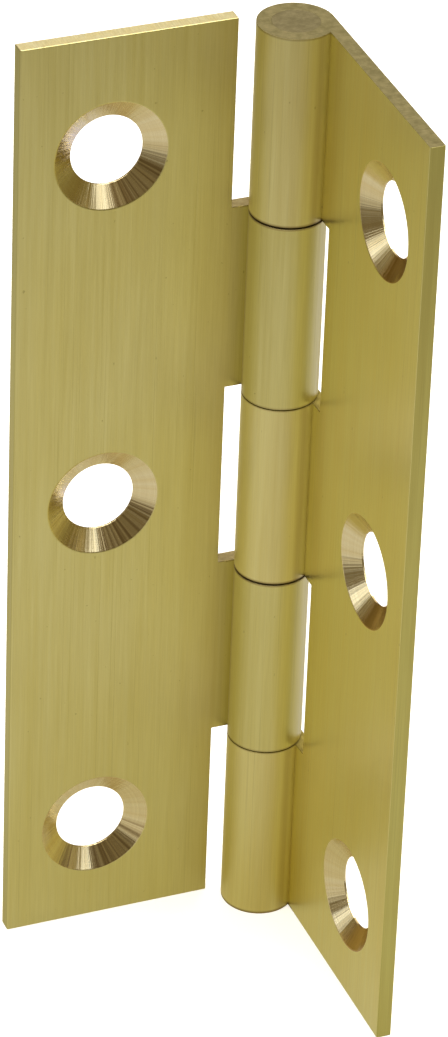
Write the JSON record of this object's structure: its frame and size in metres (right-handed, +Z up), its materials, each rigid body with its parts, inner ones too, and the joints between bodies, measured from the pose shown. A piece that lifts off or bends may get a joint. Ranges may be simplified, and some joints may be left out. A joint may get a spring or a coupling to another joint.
{
  "type": "butt hinge",
  "caption": "Narrow brass butt hinge with a fixed flush pin, interlocking knuckles and countersunk screw holes, shown open at a right angle.",
  "frame": {"origin": "on the pin's axis, at the lower end of the barrel", "axes": "+Z up along the pin; the two-knuckle leaf runs along -X and the three-knuckle leaf along -Y, with both countersunk faces towards the quarter between them"},
  "size_m": [0.0228, 0.0228, 0.076],
  "materials": {
    "door_leaf_brass": "linished satin brass, grain along the pin, bright turned countersinks",
    "frame_leaf_brass": "linished satin brass, grain along the pin, bright turned countersinks",
    "pin_brass": "drawn brass wire, ends sawn and filed flush"
  },
  "bodies": {
    "frame_side": {"three_knuckle_leaf": "frame_leaf_brass", "hinge_pin": "pin_brass"},
    "door_side": {"two_knuckle_leaf": "door_leaf_brass"}
  },
  "joints": [
    {"name": "hinge_turn", "type": "hinge", "parent": "frame_side", "child": "door_side", "pos_m": [0, 0, 0], "axis": [0, 0, -1], "range_deg": [-90, 180]}
  ]
}
